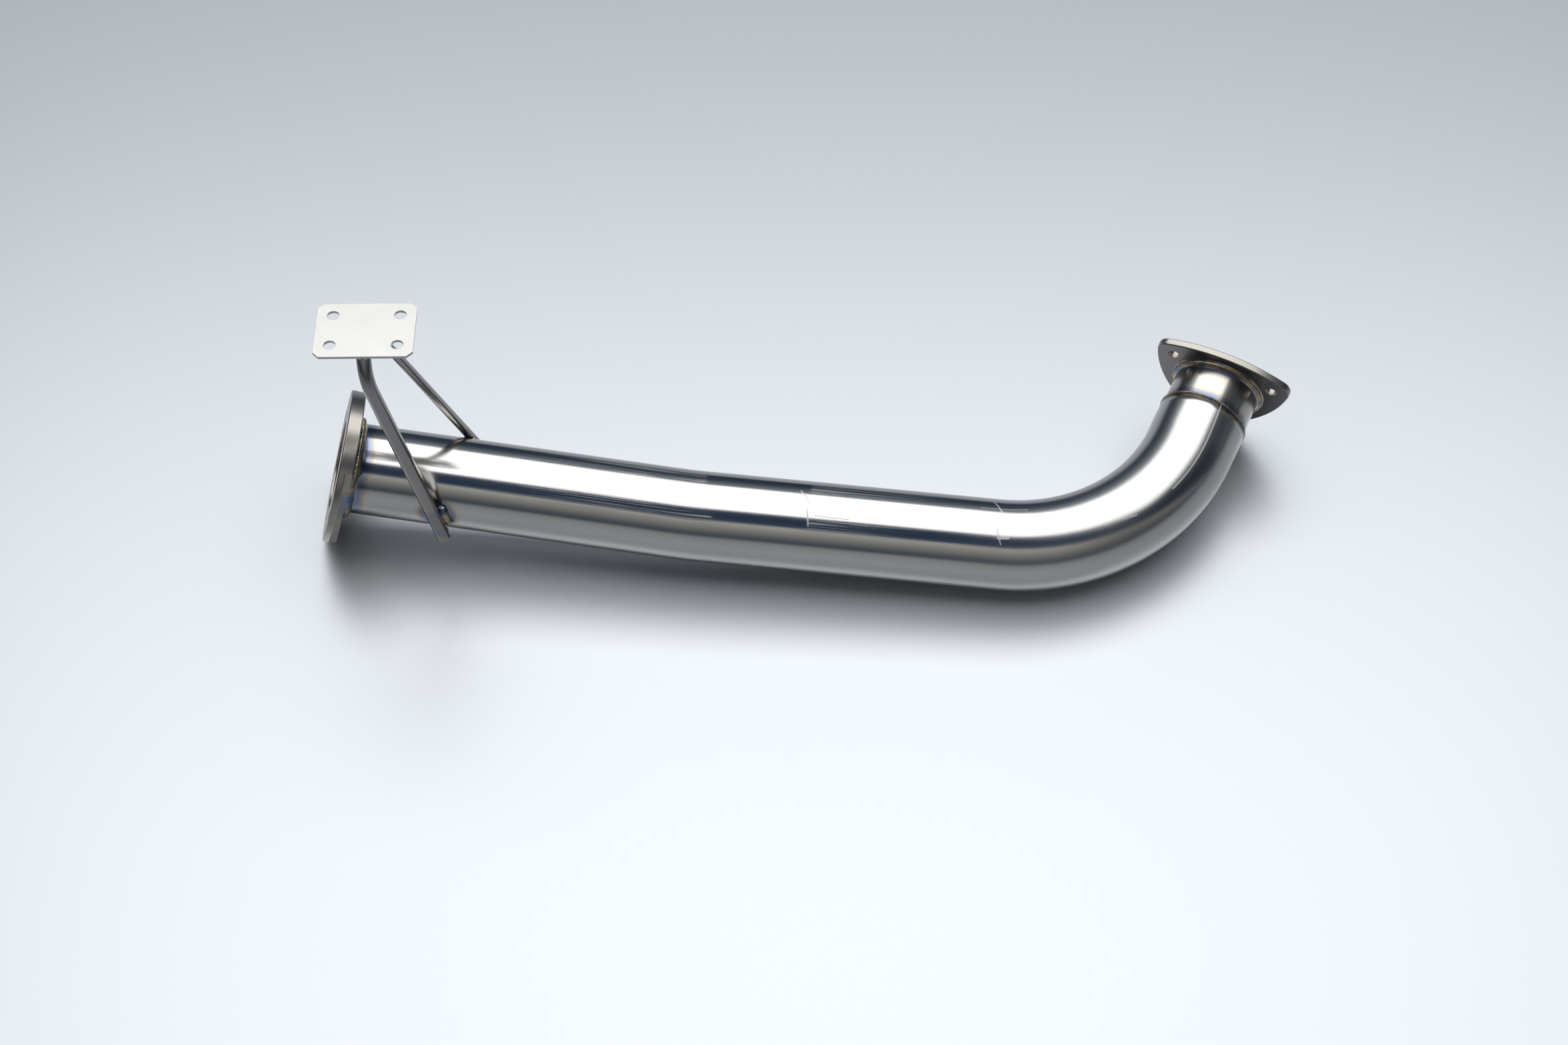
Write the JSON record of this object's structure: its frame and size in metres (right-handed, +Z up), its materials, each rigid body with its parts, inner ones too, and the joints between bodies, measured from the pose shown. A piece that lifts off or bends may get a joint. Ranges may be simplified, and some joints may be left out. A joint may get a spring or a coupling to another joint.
{
  "type": "exhaust front pipe",
  "caption": "Bent stainless exhaust front pipe with a bolted flange at each end and a small bracket plate on two rod stays.",
  "frame": {"origin": "middle of the footprint, on the surface that the part lies on", "axes": "+X along the long straight tube towards the front flange, +Y towards the side that the elbow turns to, +Z up as it lies at rest"},
  "size_m": [0.8242, 0.2225, 0.2491],
  "materials": {
    "tube_steel": "polished along the tube with fine scratches",
    "collar_steel": "polished",
    "flange_steel": "satin, with heat tint by the welds",
    "plate_steel": "satin",
    "rod_steel": "drawn rod, satin",
    "weld_steel": "rippled weld bead with gold and blue heat tint"
  },
  "bodies": {
    "root": {"main_tube": "tube_steel", "front_collar": "collar_steel", "rear_flange": "flange_steel", "front_flange": "flange_steel", "bracket_plate": "plate_steel", "near_stay": "rod_steel", "far_stay": "rod_steel", "rear_flange_weld": "weld_steel", "front_flange_weld": "weld_steel", "collar_weld": "weld_steel", "near_stay_plate_weld": "weld_steel", "far_stay_plate_weld": "weld_steel", "near_stay_weld_rear": "weld_steel", "near_stay_weld_front": "weld_steel", "far_stay_weld_rear": "weld_steel", "far_stay_weld_front": "weld_steel"}
  },
  "joints": []
}
